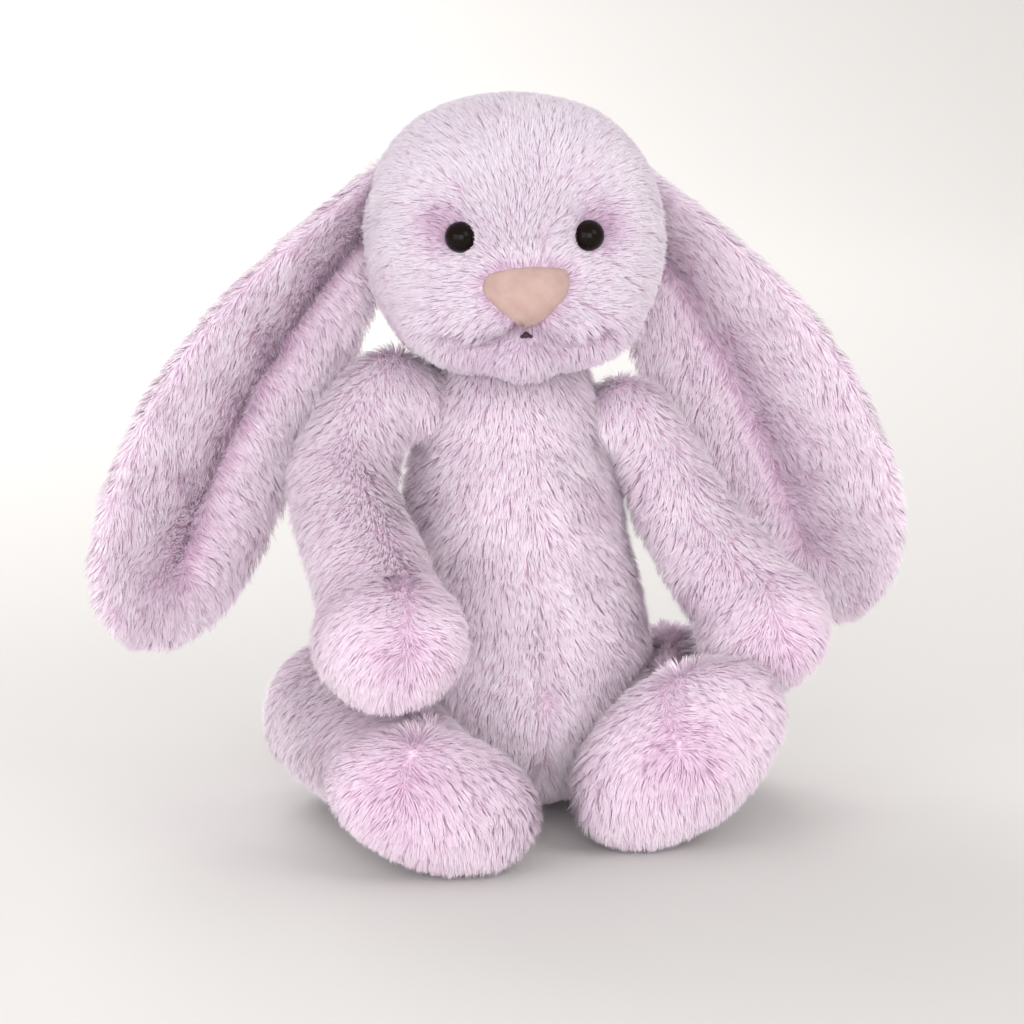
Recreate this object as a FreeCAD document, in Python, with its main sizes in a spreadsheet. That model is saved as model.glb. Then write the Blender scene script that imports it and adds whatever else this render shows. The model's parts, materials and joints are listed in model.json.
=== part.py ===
import FreeCAD, Part
import math
import os
import Sketcher

from FreeCAD import Placement, Rotation, Vector

# A sitting plush rabbit with long hanging ears. It looks along -Y and sits on the XY plane, and the
# origin is the middle of its seat. Left and right are the rabbit's own: its left side is +X.
# All lengths are in millimetres and all angles in degrees.

SIZES = {
    "fabric": 4.0,  # plush fabric: backing and pressed pile together
    "clearance": 0.6,  # gap between pieces that move against each other
    "join": 0.2,  # a ball stands this much proud of the cones that meet in it
    # torso
    "seat_radius": 38.0,
    "waist_radius": 37.5,
    "shoulder_radius": 25.5,
    "dome_height": 9.0,
    "seat_panel_radius": 17.0,
    "pouch_radius": 22.0,
    "pouch_height": 20.0,
    "pouch_cloth": 0.8,
    "bean_radius": 2.2,
    "bean_pitch": 5.1,
    "bean_margin": 5.5,  # from the pouch's rim to the outermost beans' middles
    "tail_radius": 13.0,
    "neck_ring_radius": 14.0,
    "neck_ring_thread": 1.8,
    "thread_radius": 0.4,
    "stitch_length": 4.0,
    # head
    "head_width": 82.0,
    "head_height": 80.0,
    "face_turn": -7.0,  # the face looks slightly to the rabbit's right
    "eye_spacing": 36.8,
    "eye_rise": 5.0,
    "eye_radius": 4.2,
    "eye_depth": 3.0,  # how far the dome's back sits in the pile
    "shank_radius": 1.4,
    "shank_length": 8.0,
    "shank_room": 0.1,
    "pile_room": 0.5,  # gap round the dome
    "eye_hollow_radius": 7.5,
    "eye_hollow_depth": 12.0,
    "washer_radius": 6.0,
    "washer_thickness": 1.2,
    "washer_depth": 4.6,
    "nose_width": 27.5,
    "nose_height": 17.0,
    "nose_drop": 10.5,
    "nose_corner": 3.0,
    "nose_block": 6.0,  # the felt is cut from a block this thick
    "felt": 1.4,
    "mouth_drop": 22.0,
    "mouth_width": 5.0,
    # ears
    "ear_length": 150.0,
    "ear_root_half": 8.0,
    "ear_tip_radius": 24.0,
    "ear_side_radius": 197.0,
    "ear_hem": 4.0,  # seam width between the ear's edge and its wadding
    "ear_wadding": 3.0,
    # arms
    "arm_top_radius": 10.5,
    "elbow_radius": 14.0,
    "wrist_radius": 15.0,
    "paw_width": 42.0,
    "paw_depth": 40.0,
    "paw_height": 38.0,
    "seam_offset": 0.7,  # the arm's seams run just beside the middle
    # legs
    "hip_radius": 21.0,
    "ankle_radius": 17.0,
    "foot_length": 60.0,
    "foot_depth": 34.0,
    "sole_depth": 6.0,  # from the middle of the foot forward to the seam round the sole
    "hip_room_radius": 39.0,
    "hip_room_half": 41.5,
}

POINTS = {
    "seat": (0, 0, 33),
    "waist": (0, 0, 40),
    "chest": (0, 8, 104),
    "pouch": (0, 0, 17),
    "tail": (0, 49, 30),
    "neck": (0, 8, 114.2),
    "head": (0, 6, 157),
    "left_shoulder": (37, 0, 107),
    "left_elbow": (45, -14, 77),
    "left_paw": (64.5, -33, 62),
    "right_shoulder": (-38, 2, 115),
    "right_elbow": (-51, -14, 95),
    "right_paw": (-48, -64, 63),
    "left_hip": (48.5, 8, 22),
    "left_foot": (32, -58, 26.2),
    "right_hip": (-48.5, 8, 22),
    "right_foot": (-37, -70, 21.2),
    "left_ear_root": (36, 25, 176),
    "left_ear_tip": (103, 17, 46),
    "right_ear_root": (-36, 25, 176),
    "right_ear_tip": (-103, 17, 46),
}

# the feet lie slanted, toes outward and up, and the right one is pressed flatter by its paw
FOOT_TILT = {"left": -33.0, "right": 20.0}
FOOT_HEIGHT = {"left": 44.0, "right": 38.0}
EAR_YAW = 20.0  # the outer edge of an ear is further forward than its inner edge
HEM_SLANT = 0.8  # an ear's sides lean, so a hem narrows its root by this share of the hem's width
STITCH_SHARES = [0.3 + 0.07 * number for number in range(8)]  # of the way from waist to chest
SIGNS = {"left": 1, "right": -1}
ROOM = 400.0  # edge of the boxes that split the pieces, larger than the rabbit

doc = FreeCAD.newDocument("PlushRabbit")


def make_sheet():
    """One cell for each size, and three for each point."""
    cells = dict(SIZES)
    for side in SIGNS:
        cells[f"{side}_foot_height"] = FOOT_HEIGHT[side]
    for point, place in POINTS.items():
        for axis, value in zip("xyz", place):
            cells[f"{point}_{axis}"] = value
    sheet = doc.addObject("Spreadsheet::Sheet", "Sizes")
    for row, (alias, value) in enumerate(cells.items(), start=1):
        sheet.set(f"A{row}", alias)
        sheet.set(f"B{row}", str(value))
        sheet.setAlias(f"B{row}", alias)
    doc.recompute()
    return sheet


sheet = make_sheet()


def size(alias):
    return float(getattr(sheet, alias))


def point(name):
    return Vector(*[size(f"{name}_{axis}") for axis in "xyz"])


def bind(item, **expressions):
    for key, expression in expressions.items():
        item.setExpression(key, str(expression))


def bind_place(item, name, rotation=None):
    """Put an object at a named point, with an optional rotation about it."""
    item.Placement = Placement(point(name), rotation or Rotation())
    for axis in "xyz":
        item.setExpression(f"Placement.Base.{axis}", f"Sizes.{name}_{axis}")


# ---------------------------------------------------------------- primitives and booleans


def ball(label, centre, width, depth, height, rotation=None):
    """An ellipsoid at a named point, from expressions for its full width, depth and height."""
    item = doc.addObject("Part::Ellipsoid", label)
    bind(item, Radius2=f"({width}) / 2", Radius3=f"({depth}) / 2", Radius1=f"({height}) / 2")
    bind_place(item, centre, rotation)
    return item


def sphere(label, centre, radius):
    item = doc.addObject("Part::Sphere", label)
    bind(item, Radius=radius)
    bind_place(item, centre)
    return item


def cone(label, start, end, start_radius, end_radius):
    """A round limb section from one named point to another."""
    item = doc.addObject("Part::Cone", label)
    steps = [f"pow(Sizes.{end}_{axis} - Sizes.{start}_{axis}; 2)" for axis in "xyz"]
    bind(item, Radius1=start_radius, Radius2=end_radius, Height=f"sqrt({' + '.join(steps)})")
    bind_place(item, start, Rotation(Vector(0, 0, 1), point(end) - point(start)))
    return item


def box(label, low, high):
    item = doc.addObject("Part::Box", label)
    item.Length, item.Width, item.Height = high - low
    item.Placement.Base = low
    return item


def fuse(label, pieces):
    item = doc.addObject("Part::MultiFuse", label)
    item.Shapes = pieces
    return item


def group(label, pieces):
    item = doc.addObject("Part::Compound", label)
    item.Links = pieces
    return item


def cut(label, base, tool):
    item = doc.addObject("Part::Cut", label)
    item.Base, item.Tool = base, tool
    return item


def common(label, first, second):
    item = doc.addObject("Part::Common", label)
    item.Base, item.Tool = first, second
    return item


def box_over(label, start, end):
    """A large box on the front of the slanted plane through two named points, level from side to side."""
    along = (point(end) - point(start)).normalize()
    level = along.cross(Vector(0, 0, 1)).normalize()
    rotation = Rotation(level, along, level.cross(along), "ZYX")
    item = box(label, Vector(), Vector(ROOM, ROOM, ROOM))
    corner = Vector(-ROOM / 2, -ROOM / 2, size("seam_offset"))
    item.Placement = Placement(point(start) + rotation.multVec(corner), rotation)
    return item


# ---------------------------------------------------------------- sketched pieces


def new_body(label):
    return doc.addObject("PartDesign::Body", label)


def new_sketch(body, name, role="XY_Plane", height="0"):
    """A sketch on one of the body's own origin planes, raised along the plane's normal."""
    sketch = body.newObject("Sketcher::SketchObject", name)
    plane = next(item for item in body.Origin.OriginFeatures if item.Role == role)
    sketch.AttachmentSupport = [(plane, "")]
    sketch.MapMode = "FlatFace"
    sketch.setExpression("AttachmentOffset.Base.z", height)
    return sketch


def value_of(expression):
    """The present value of an expression in the sheet's cells, for a sketch's first guess."""
    return float(sheet.evalExpression(expression))


def drive(sketch, kind, where, expression):
    """A dimension of the sketch, bound to the sheet."""
    index = sketch.addConstraint(Sketcher.Constraint(kind, *where, value_of(expression)))
    sketch.setExpression(f"Constraints[{index}]", expression)


def add_feature(body, kind, sketch, name, length):
    feature = body.newObject(f"PartDesign::{kind}", name)
    feature.Profile = sketch
    feature.setExpression("Length", length)
    return feature


def circle_sketch(body, name, radius, height="0"):
    sketch = new_sketch(body, name, height=height)
    sketch.addGeometry(Part.Circle(Vector(), Vector(0, 0, 1), value_of(radius)))
    sketch.addConstraint(Sketcher.Constraint("Coincident", 0, 3, -1, 1))
    drive(sketch, "Radius", (0,), radius)
    return sketch


def mirrored(spot):
    return Vector(-spot.x, spot.y)


def petal_sketch(body, name, inset, height):
    """An ear's outline: a short root on the X axis, two long bowed sides and a round tip.

    The inset moves the whole outline inwards by a hem.
    """
    root_half = f"Sizes.ear_root_half - {HEM_SLANT} * ({inset})"
    tip_radius = f"Sizes.ear_tip_radius - ({inset})"
    side_radius = f"Sizes.ear_side_radius - ({inset})"
    tip_reach = "Sizes.ear_length - Sizes.ear_tip_radius"
    base = value_of(inset)
    corner = Vector(value_of(root_half), base)
    tip = Vector(0, value_of(tip_reach))
    tip_size, side_size = value_of(tip_radius), value_of(side_radius)
    # the side's centre is at known distances from the root's corner and from the tip's centre
    apart = (tip - corner).Length
    along = (apart**2 + side_size**2 - (side_size - tip_size) ** 2) / (2 * apart)
    across = math.sqrt(side_size**2 - along**2)
    line = (tip - corner).normalize()
    centre = corner + line * along + Vector(-line.y, line.x) * across
    joint = centre + (tip - centre).normalize() * side_size
    top = tip + Vector(0, tip_size)
    middle = centre + ((corner + joint) / 2 - centre).normalize() * side_size

    sketch = new_sketch(body, name, height=height)
    root = sketch.addGeometry(Part.LineSegment(mirrored(corner), corner))
    right = sketch.addGeometry(Part.Arc(corner, middle, joint))
    cap = sketch.addGeometry(Part.Arc(joint, top, mirrored(joint)))
    left = sketch.addGeometry(Part.Arc(mirrored(joint), mirrored(middle), mirrored(corner)))
    for first, second in ((root, right), (left, root)):
        sketch.addConstraint(Sketcher.Constraint("Coincident", first, 2, second, 1))
    for first, second in ((right, cap), (cap, left)):
        sketch.addConstraint(Sketcher.Constraint("Tangent", first, 2, second, 1))
    sketch.addConstraint(Sketcher.Constraint("Symmetric", root, 1, root, 2, -2))
    sketch.addConstraint(Sketcher.Constraint("PointOnObject", cap, 3, -2))
    sketch.addConstraint(Sketcher.Constraint("Equal", right, left))
    drive(sketch, "DistanceX", (root, 1, root, 2), f"2 * ({root_half})")
    drive(sketch, "DistanceY", (-1, 1, root, 2), inset)
    drive(sketch, "Radius", (cap,), tip_radius)
    drive(sketch, "Radius", (right,), side_radius)
    drive(sketch, "DistanceY", (-1, 1, cap, 3), tip_reach)
    return sketch


# ---------------------------------------------------------------- soft forms, each as outer and inner


def torso_form(label, inset):
    """A pear with a flat seat, drawn in from its outer surface by the inset."""
    top = f"2 * (Sizes.shoulder_radius + Sizes.join - ({inset}))"
    pear = fuse(
        f"{label}Pear",
        [
            sphere(f"{label}Seat", "seat", f"Sizes.seat_radius - ({inset})"),
            cone(
                f"{label}Chest",
                "waist",
                "chest",
                f"Sizes.waist_radius - ({inset})",
                f"Sizes.shoulder_radius - ({inset})",
            ),
            ball(f"{label}Dome", "chest", top, top, f"2 * (Sizes.dome_height - ({inset}))"),
        ],
    )
    floor = value_of(inset)
    above = box(f"{label}Above", Vector(-ROOM / 2, -ROOM / 2, floor), Vector(ROOM / 2, ROOM / 2, ROOM))
    bind(above, **{"Placement.Base.z": inset})
    return common(label, pear, above)


def head_form(label, inset):
    width = f"Sizes.head_width - 2 * ({inset})"
    return ball(label, "head", width, width, f"Sizes.head_height - 2 * ({inset})")


def arm_form(label, side, inset):
    """A bent tube from the shoulder over the elbow to a large round paw."""
    shoulder, elbow, paw = f"{side}_shoulder", f"{side}_elbow", f"{side}_paw"
    top_radius = f"Sizes.arm_top_radius - ({inset})"
    bend_radius = f"Sizes.elbow_radius - ({inset})"
    wrist_radius = f"Sizes.wrist_radius - ({inset})"
    paw_sizes = [f"Sizes.paw_{name} - 2 * ({inset})" for name in ("width", "depth", "height")]
    return fuse(
        label,
        [
            sphere(f"{label}Top", shoulder, f"{top_radius} + Sizes.join"),
            cone(f"{label}Upper", shoulder, elbow, top_radius, bend_radius),
            sphere(f"{label}Bend", elbow, f"{bend_radius} + Sizes.join"),
            cone(f"{label}Lower", elbow, paw, bend_radius, wrist_radius),
            ball(f"{label}Paw", paw, *paw_sizes),
        ],
    )


def leg_form(label, side, inset):
    """A thigh lying on the floor and a broad slanted foot, hollowed beside the torso."""
    hip_radius = f"Sizes.hip_radius - ({inset})"
    ankle_radius = f"Sizes.ankle_radius - ({inset})"
    foot_sizes = [
        f"Sizes.foot_length - 2 * ({inset})",
        f"Sizes.foot_depth - 2 * ({inset})",
        f"Sizes.{side}_foot_height - 2 * ({inset})",
    ]
    tilt = Rotation(Vector(0, 1, 0), FOOT_TILT[side])
    limb = fuse(
        f"{label}Limb",
        [
            sphere(f"{label}Hip", f"{side}_hip", f"{hip_radius} + Sizes.join"),
            cone(f"{label}Thigh", f"{side}_hip", f"{side}_foot", hip_radius, ankle_radius),
            ball(f"{label}Foot", f"{side}_foot", *foot_sizes, tilt),
        ],
    )
    return cut(label, limb, hip_room(f"{label}Room", inset))


def hip_room(label, inset):
    """The round space that the torso's seat needs while a leg turns about the hips."""
    room = doc.addObject("Part::Cylinder", label)
    bind(
        room,
        Radius=f"Sizes.hip_room_radius + ({inset})",
        Height=f"2 * (Sizes.hip_room_half + ({inset}))",
    )
    room.Placement = Placement(point("seat"), Rotation(Vector(0, 1, 0), 90))
    bind(
        room,
        **{
            "Placement.Base.x": f"Sizes.seat_x - Sizes.hip_room_half - ({inset})",
            "Placement.Base.y": "Sizes.seat_y",
            "Placement.Base.z": "Sizes.seat_z",
        },
    )
    return room


def tail_form(label, inset):
    return sphere(label, "tail", f"Sizes.tail_radius - ({inset})")


# ---------------------------------------------------------------- groups of pieces

OUTER = "0"
FABRIC = "Sizes.fabric"
nodes = []


def keep(item, name):
    """This object is a piece of its own: its label is the piece's name."""
    item.Label = name
    nodes.append(item)
    return item


def make_torso():
    outer = torso_form("TorsoOuter", OUTER)
    inner = torso_form("TorsoInner", FABRIC)
    shell = cut("TorsoShell", outer, inner)
    disc = doc.addObject("Part::Cylinder", "SeatDisc")
    bind(disc, Radius="Sizes.seat_panel_radius", Height="Sizes.fabric")
    keep(common("SeatPanel", shell, disc), "seat_panel")
    skin = cut("TorsoSkin", shell, disc)
    half = ROOM / 2
    split = point("chest").y / 2
    quarters = {
        "body_front_left": (Vector(0, -half, 0), Vector(half, split, ROOM)),
        "body_front_right": (Vector(-half, -half, 0), Vector(0, split, ROOM)),
        "body_back_left": (Vector(0, split, 0), Vector(half, half, ROOM)),
        "body_back_right": (Vector(-half, split, 0), Vector(0, half, ROOM)),
    }
    for name, (low, high) in quarters.items():
        keep(common(f"{name}_cut", skin, box(f"{name}_box", low, high)), name)
    return outer, inner


def make_seat_filling(torso_inner):
    """A flat cloth pouch of plastic beans in the seat, inside the stuffing."""
    cloth = "Sizes.pouch_cloth"
    wide = "2 * Sizes.pouch_radius"
    pouch = ball("PouchOuter", "pouch", wide, wide, "Sizes.pouch_height")
    hollow = ball(
        "PouchInner",
        "pouch",
        f"{wide} - 2 * {cloth}",
        f"{wide} - 2 * {cloth}",
        f"Sizes.pouch_height - 2 * {cloth}",
    )
    keep(cut("BeanPouch", pouch, hollow), "bean_pouch")
    keep(cut("BodyStuffing", torso_inner, pouch), "body_stuffing")

    pitch = size("bean_pitch")
    reach = size("pouch_radius") - size("bean_margin")
    beans = []
    rows = math.ceil(reach / pitch)
    for row in range(-rows, rows + 1):
        for column in range(-rows, rows + 1):
            spot = Vector((column + row / 2) * pitch, row * pitch * math.sqrt(0.75), 0)
            if spot.Length <= reach:
                bean = doc.addObject("Part::Sphere", "Bean")
                bind(bean, Radius="Sizes.bean_radius")
                bean.Placement.Base = point("pouch") + spot
                beans.append(bean)
    keep(group("SeatBeans", beans), "seat_beans")


def make_tail(torso_outer):
    outer = cut("TailOuter", tail_form("TailBall", OUTER), torso_outer)
    inner = cut("TailInner", tail_form("TailCore", FABRIC), torso_outer)
    keep(cut("TailCover", outer, inner), "tail_cover")
    keep(inner, "tail_stuffing")


def make_stitches():
    """The sewn ring at the neck and the ladder stitches that close the back."""
    ring = doc.addObject("Part::Torus", "NeckRing")
    bind(ring, Radius1="Sizes.neck_ring_radius", Radius2="Sizes.neck_ring_thread")
    bind_place(ring, "neck")
    keep(ring, "neck_stitching")

    waist, chest = point("waist"), point("chest")
    stitches = []
    for share in STITCH_SHARES:
        middle = waist + (chest - waist) * share
        radius = size("waist_radius") + (size("shoulder_radius") - size("waist_radius")) * share
        stitch = doc.addObject("Part::Cylinder", "BackStitch")
        bind(stitch, Radius="Sizes.thread_radius", Height="Sizes.stitch_length")
        place = Vector(-size("stitch_length") / 2, middle.y + radius + size("thread_radius"), middle.z)
        stitch.Placement = Placement(place, Rotation(Vector(0, 1, 0), 90))
        stitches.append(stitch)
    keep(group("BackStitches", stitches), "back_closing_stitches")


def face_place(across, rise):
    """The frame on the head's surface, Z outwards, at a place given on the unturned face."""
    radius = size("head_width") / 2
    ahead = math.sqrt(radius**2 - across**2 - rise**2)
    outward = Rotation(Vector(0, 0, 1), size("face_turn")).multVec(Vector(across, -ahead, rise))
    upright = Rotation(Vector(1, 0, 0), Vector(0, 0, 1), outward, "ZXY")
    return Placement(point("head") + outward, upright)


def eye_place(side):
    return face_place(SIGNS[side] * size("eye_spacing") / 2, size("eye_rise"))


def make_eye(side):
    """A glossy dome on a shank that passes through the fabric, and its locking washer."""
    place = eye_place(side)
    radius, shank = size("eye_radius"), size("shank_radius")
    back = -size("eye_depth")
    body = new_body(f"{side}_eye_body")
    sketch = new_sketch(body, f"{side}_eye_profile", role="XZ_Plane")
    top = Vector(0, back + radius)
    rim = Vector(radius, back)
    neck = Vector(shank, back)
    end = Vector(shank, back - size("shank_length"))
    foot = Vector(0, end.y)
    crown = Vector(radius * math.sqrt(0.5), back + radius * math.sqrt(0.5))
    sketch.addGeometry(Part.Arc(rim, crown, top))
    for start, finish in ((rim, neck), (neck, end), (end, foot), (foot, top)):
        sketch.addGeometry(Part.LineSegment(start, finish))
    joints = ((0, 1, 1, 1), (1, 2, 2, 1), (2, 2, 3, 1), (3, 2, 4, 1), (4, 2, 0, 2))
    for joint in joints:
        sketch.addConstraint(Sketcher.Constraint("Coincident", *joint))
    for line in (1, 3):
        sketch.addConstraint(Sketcher.Constraint("Horizontal", line))
    sketch.addConstraint(Sketcher.Constraint("Vertical", 2))
    sketch.addConstraint(Sketcher.Constraint("PointOnObject", 0, 3, -2))
    sketch.addConstraint(Sketcher.Constraint("PointOnObject", 3, 2, -2))
    sketch.addConstraint(Sketcher.Constraint("PointOnObject", 0, 2, -2))
    sketch.addConstraint(Sketcher.Constraint("Horizontal", 0, 3, 0, 1))
    drive(sketch, "Radius", (0,), "Sizes.eye_radius")
    drive(sketch, "DistanceX", (-1, 1, 2, 1), "Sizes.shank_radius")
    drive(sketch, "DistanceY", (2, 2, 2, 1), "Sizes.shank_length")
    drive(sketch, "DistanceY", (0, 3, -1, 1), "Sizes.eye_depth")
    turned = body.newObject("PartDesign::Revolution", f"{side}_eye_turned")
    turned.Profile = sketch
    turned.ReferenceAxis = (sketch, ["V_Axis"])
    turned.Angle = 360
    body.Placement = place
    keep(body, f"{side}_eye")

    washer = new_body(f"{side}_washer_body")
    ring = circle_sketch(washer, f"{side}_washer_ring", "Sizes.washer_radius", "-Sizes.washer_depth")
    hole = ring.addGeometry(Part.Circle(Vector(), Vector(0, 0, 1), shank + size("shank_room")))
    ring.addConstraint(Sketcher.Constraint("Coincident", hole, 3, -1, 1))
    drive(ring, "Radius", (hole,), "Sizes.shank_radius + Sizes.shank_room")
    plate = add_feature(washer, "Pad", ring, f"{side}_washer_plate", "Sizes.washer_thickness")
    plate.Reversed = True
    washer.Placement = place
    keep(washer, f"{side}_eye_washer")


def eye_room(label, side, radius, depth, rise="0"):
    """A round pocket along an eye's axis, from a depth under the head's surface to a rise over it."""
    room = doc.addObject("Part::Cylinder", label)
    bind(room, Radius=radius, Height=f"({depth}) + ({rise})")
    place = eye_place(side)
    offset = place.Rotation.multVec(Vector(0, 0, -value_of(depth)))
    room.Placement = Placement(place.Base + offset, place.Rotation)
    return room


def make_nose(head_outer):
    """A felt triangle with rounded corners that follows the curve of the face."""
    body = new_body("nose_body")
    sketch = new_sketch(body, "nose_outline")
    half, height = size("nose_width") / 2, size("nose_height")
    corners = [Vector(-half, height / 2), Vector(half, height / 2), Vector(0, -height / 2)]
    for index, corner in enumerate(corners):
        sketch.addGeometry(Part.LineSegment(corner, corners[(index + 1) % 3]))
    for joint in ((0, 2, 1, 1), (1, 2, 2, 1), (2, 2, 0, 1)):
        sketch.addConstraint(Sketcher.Constraint("Coincident", *joint))
    sketch.addConstraint(Sketcher.Constraint("Symmetric", 0, 1, 0, 2, -2))
    sketch.addConstraint(Sketcher.Constraint("PointOnObject", 1, 2, -2))
    drive(sketch, "DistanceX", (0, 1, 0, 2), "Sizes.nose_width")
    drive(sketch, "DistanceY", (-1, 1, 0, 2), "Sizes.nose_height / 2")
    drive(sketch, "DistanceY", (1, 2, 0, 2), "Sizes.nose_height")
    pad = add_feature(body, "Pad", sketch, "nose_pad", "Sizes.nose_block")
    pad.Midplane = True
    doc.recompute()
    upright_edges = [
        f"Edge{number}"
        for number, edge in enumerate(pad.Shape.Edges, start=1)
        if abs(edge.tangentAt(edge.FirstParameter).z) > 0.9
    ]
    corner_round = body.newObject("PartDesign::Fillet", "nose_corners")
    corner_round.Base = (pad, upright_edges)
    bind(corner_round, Radius="Sizes.nose_corner")
    body.Placement = face_place(0, -size("nose_drop"))
    layer = cut("NoseLayer", head_form("NoseFront", "-Sizes.felt"), head_outer)
    keep(common("NosePatch", body, layer), "nose_patch")


def make_mouth():
    mouth = doc.addObject("Part::Cylinder", "MouthThread")
    bind(mouth, Radius="Sizes.thread_radius", Height="Sizes.mouth_width")
    place = face_place(0, -size("mouth_drop"))
    start = place.multVec(Vector(-size("mouth_width") / 2, 0, size("thread_radius")))
    mouth.Placement = Placement(start, place.Rotation.multiply(Rotation(Vector(0, 1, 0), 90)))
    keep(mouth, "mouth_stitch")


def make_head():
    outer = head_form("HeadOuter", OUTER)
    inner = head_form("HeadInner", FABRIC)
    shell = cut("HeadShell", outer, inner)
    pockets = []
    hollows = []
    pile_radius = "Sizes.eye_radius + Sizes.pile_room"
    shank_radius = "Sizes.shank_radius + Sizes.shank_room"
    for side in SIGNS:
        make_eye(side)
        pockets.append(eye_room(f"{side}PileRoom", side, pile_radius, "Sizes.eye_depth", "Sizes.eye_radius"))
        pockets.append(eye_room(f"{side}ShankRoom", side, shank_radius, "Sizes.shank_length"))
        hollows.append(eye_room(f"{side}Hollow", side, "Sizes.eye_hollow_radius", "Sizes.eye_hollow_depth"))
    skin = cut("HeadSkin", shell, fuse("EyePockets", pockets))
    half = ROOM / 2
    split = point("head").y
    panels = {
        "face_left": (Vector(0, -half, 0), Vector(half, split, ROOM)),
        "face_right": (Vector(-half, -half, 0), Vector(0, split, ROOM)),
        "head_back": (Vector(-half, split, 0), Vector(half, half, ROOM)),
    }
    for name, (low, high) in panels.items():
        keep(common(f"{name}_cut", skin, box(f"{name}_box", low, high)), name)
    keep(cut("HeadStuffing", inner, fuse("EyeHollows", hollows)), "head_stuffing")
    make_nose(outer)
    make_mouth()


def ear_place(side):
    """The ear's frame: Y runs from root to tip and Z out of the lining, which faces the front."""
    root, tip = point(f"{side}_ear_root"), point(f"{side}_ear_tip")
    along = (tip - root).normalize()
    sign = SIGNS[side]
    yaw = math.radians(EAR_YAW)
    outward = Vector(sign * math.cos(yaw), -math.sin(yaw), 0)
    normal = along.cross(outward) * sign
    if normal.y > 0:
        normal = -normal
    across = along.cross(normal)
    return Placement(root, Rotation(across, along, normal, "ZYX"))


def make_ear(side, head_room):
    """Three layers: a plush back with a rim, thin wadding inside it, and a plush lining."""
    layer = "Sizes.ear_wadding / 2"
    place = ear_place(side)

    back = new_body(f"{side}_ear_back_body")
    outline = petal_sketch(back, f"{side}_ear_back_outline", "0", f"-{layer} - Sizes.fabric")
    add_feature(back, "Pad", outline, f"{side}_ear_back_pad", "Sizes.fabric + Sizes.ear_wadding")
    well = petal_sketch(back, f"{side}_ear_well_outline", "Sizes.ear_hem", layer)
    add_feature(back, "Pocket", well, f"{side}_ear_well", "Sizes.ear_wadding")

    wadding = new_body(f"{side}_ear_wadding_body")
    core = petal_sketch(wadding, f"{side}_ear_wadding_outline", "Sizes.ear_hem", f"-{layer}")
    add_feature(wadding, "Pad", core, f"{side}_ear_wadding_pad", "Sizes.ear_wadding")

    lining = new_body(f"{side}_ear_lining_body")
    front = petal_sketch(lining, f"{side}_ear_lining_outline", "0", layer)
    add_feature(lining, "Pad", front, f"{side}_ear_lining_pad", "Sizes.fabric")

    for body, name in ((back, "ear_back"), (wadding, "ear_wadding"), (lining, "ear_lining")):
        body.Placement = place
        keep(cut(f"{side}_{name}_cut", body, head_room), f"{side}_{name}")


def make_arm(side):
    outer = arm_form(f"{side}ArmOuter", side, OUTER)
    inner = arm_form(f"{side}ArmInner", side, FABRIC)
    shell = cut(f"{side}ArmShell", outer, inner)
    over = box_over(f"{side}ArmOver", f"{side}_shoulder", f"{side}_paw")
    keep(common(f"{side}ArmFront", shell, over), f"{side}_arm_front_panel")
    keep(cut(f"{side}ArmBack", shell, over), f"{side}_arm_back_panel")
    keep(inner, f"{side}_arm_stuffing")


def make_leg(side):
    outer = leg_form(f"{side}LegOuter", side, OUTER)
    inner = leg_form(f"{side}LegInner", side, FABRIC)
    shell = cut(f"{side}LegShell", outer, inner)
    half = ROOM / 2
    seam = point(f"{side}_foot").y - size("sole_depth")
    ahead = box(f"{side}SoleBox", Vector(-half, -half, -half), Vector(half, seam, half))
    keep(common(f"{side}Sole", shell, ahead), f"{side}_sole")
    upper = cut(f"{side}LegUpper", shell, ahead)
    above = box(f"{side}LegAbove", Vector(-half, -half, point(f"{side}_hip").z), Vector(half, half, half))
    keep(common(f"{side}LegTop", upper, above), f"{side}_leg_top_panel")
    keep(cut(f"{side}LegUnder", upper, above), f"{side}_leg_under_panel")
    keep(inner, f"{side}_leg_stuffing")


def check_and_write():
    """Refuse any failed object or broken solid, then write each piece to a file of its own."""
    for item in doc.Objects:
        if "Invalid" in item.State or "Error" in item.State:
            raise RuntimeError(f"{item.Name} failed: {item.State}")
    for item in nodes:
        shape = item.Shape
        if shape.isNull() or not shape.isValid() or not shape.Solids:
            raise RuntimeError(f"{item.Label} has no valid solid")
    os.makedirs("parts", exist_ok=True)
    for item in nodes:
        item.Shape.exportStep(f"parts/{item.Label}.step")
        print(f"{item.Label}: {len(item.Shape.Solids)} solid(s), {item.Shape.Volume:.0f} mm3")


torso_outer, torso_inner = make_torso()
make_seat_filling(torso_inner)
make_tail(torso_outer)
make_stitches()
make_head()
ear_clearance = head_form("EarClearance", "-Sizes.clearance")
for side in SIGNS:
    make_ear(side, ear_clearance)
    make_arm(side)
    make_leg(side)
doc.recompute()
check_and_write()
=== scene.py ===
import json
import math

import bmesh
import bpy
import numpy as np
from mathutils import Euler, Matrix, Vector
from mathutils.bvhtree import BVHTree
from mathutils.kdtree import KDTree


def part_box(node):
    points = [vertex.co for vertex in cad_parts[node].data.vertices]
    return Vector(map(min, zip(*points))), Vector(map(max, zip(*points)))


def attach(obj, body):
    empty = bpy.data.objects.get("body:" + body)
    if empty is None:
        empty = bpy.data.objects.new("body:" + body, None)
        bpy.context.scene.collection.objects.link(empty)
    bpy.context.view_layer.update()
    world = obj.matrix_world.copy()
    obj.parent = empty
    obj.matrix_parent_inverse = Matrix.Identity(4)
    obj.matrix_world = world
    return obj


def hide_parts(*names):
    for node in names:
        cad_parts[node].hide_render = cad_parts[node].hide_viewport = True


# A sitting plush rabbit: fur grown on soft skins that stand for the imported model's fabric panels.
# Lengths are in metres. The rabbit looks along -Y, and left and right are its own.

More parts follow.
